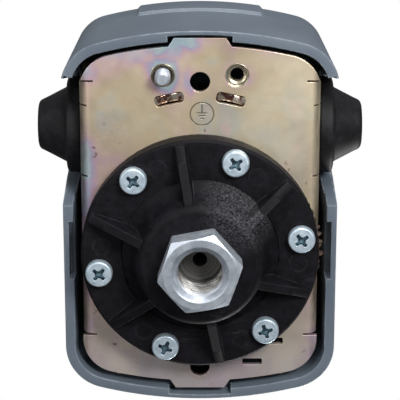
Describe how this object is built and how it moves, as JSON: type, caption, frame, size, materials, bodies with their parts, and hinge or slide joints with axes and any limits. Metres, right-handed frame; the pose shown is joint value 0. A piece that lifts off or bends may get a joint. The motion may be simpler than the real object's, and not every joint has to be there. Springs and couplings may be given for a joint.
{
  "type": "pressure switch",
  "caption": "Pressure switch: hexagon port fitting and ribbed flange on a steel plate, lever and contact block under a lift-off cover with rubber cable glands.",
  "frame": {"origin": "on the port's axis, where the mouth's cone meets the threaded wall", "axes": "+Z along the port's axis into the cover; -Y towards the cable glands and the contact block; X across the switch from gland to gland"},
  "size_m": [0.0856, 0.1004, 0.069],
  "materials": {
    "cover": "fine-grained grey-blue moulding",
    "plate": "yellow-passivated zinc plating",
    "zinc": "bright zinc plating",
    "steel": "plain bright steel",
    "spring": "drawn spring wire",
    "flange": "black glass-filled moulding",
    "rubber": "black moulded rubber",
    "block": "brown thermosetting moulding",
    "nylon": "natural nylon",
    "brass": "stamped brass"
  },
  "bodies": {
    "switch_base": {"base_plate": "plate", "flange": "flange", "port_fitting": "zinc", "diaphragm": "rubber", "flange_screws": "zinc", "pivot_pin": "steel", "pivot_clips": "spring", "range_stud": "zinc", "range_spring": "spring", "differential_stud": "zinc", "differential_spring": "spring", "contact_block": "block", "fixed_contacts": "brass", "terminal_screws": "zinc", "terminal_clamps": "plate", "earth_screw": "zinc", "earth_clamp": "plate", "gland_left": "rubber", "gland_right": "rubber", "cover_pillar": "steel"},
    "lever_body": {"lever": "plate"},
    "piston_body": {"piston": "nylon"},
    "carrier_body": {"contact_carrier": "nylon", "moving_contacts": "brass", "contact_springs": "spring"},
    "range_seat_body": {"range_spring_seat": "zinc"},
    "range_nut_body": {"range_nut": "plate"},
    "differential_seat_body": {"differential_spring_seat": "zinc"},
    "differential_nut_body": {"differential_nut": "plate"},
    "cover_body": {"cover": "cover"},
    "cover_screw_body": {"cover_screw": "zinc", "cover_screw_washer": "nylon"}
  },
  "joints": [
    {"name": "lever_tilt", "type": "hinge", "parent": "switch_base", "child": "lever_body", "pos_m": [0, 0.031, 0.03202], "axis": [-1, 0, 0], "range_deg": [0, 2.2], "stiffness_Nm_per_rad": 0.2, "springref_deg": -0.57, "deforming": ["range_spring", "differential_spring"]},
    {"name": "piston_slide", "type": "slide", "parent": "switch_base", "child": "piston_body", "axis": [0, 0, 1], "range_m": [0, 0.00125]},
    {"name": "carrier_slide", "type": "slide", "parent": "switch_base", "child": "carrier_body", "axis": [0, 0, 1], "range_m": [0, 0.0022]},
    {"name": "range_nut_turn", "type": "hinge", "parent": "range_seat_body", "child": "range_nut_body", "pos_m": [0, 0.017, 0.05342], "axis": [0, 0, 1], "range_deg": [-720, 720]},
    {"name": "range_seat_slide", "type": "slide", "parent": "switch_base", "child": "range_seat_body", "axis": [0, 0, 1], "range_m": [-0.002, 0.002], "deforming": ["range_spring"]},
    {"name": "differential_nut_turn", "type": "hinge", "parent": "differential_seat_body", "child": "differential_nut_body", "pos_m": [0.014, 0.012, 0.04742], "axis": [0, 0, 1], "range_deg": [-1000, 1000]},
    {"name": "differential_seat_slide", "type": "slide", "parent": "switch_base", "child": "differential_seat_body", "axis": [0, 0, 1], "range_m": [-0.0019, 0.0019], "deforming": ["differential_spring"]},
    {"name": "cover_lift", "type": "slide", "parent": "switch_base", "child": "cover_body", "axis": [0, 0, 1], "range_m": [0, 0.06]},
    {"name": "cover_screw_turn", "type": "hinge", "parent": "cover_body", "child": "cover_screw_body", "pos_m": [0, -0.0185, 0.06442], "axis": [0, 0, 1], "continuous": true}
  ],
  "couplings": [
    {"joint": "piston_slide", "follows": "lever_tilt", "m_per_rad": 0.031},
    {"joint": "carrier_slide", "follows": "lever_tilt", "m_per_rad": 0.0534},
    {"joint": "range_nut_turn", "follows": "range_seat_slide", "rad_per_m": 6283.2},
    {"joint": "differential_nut_turn", "follows": "differential_seat_slide", "rad_per_m": 8976}
  ]
}
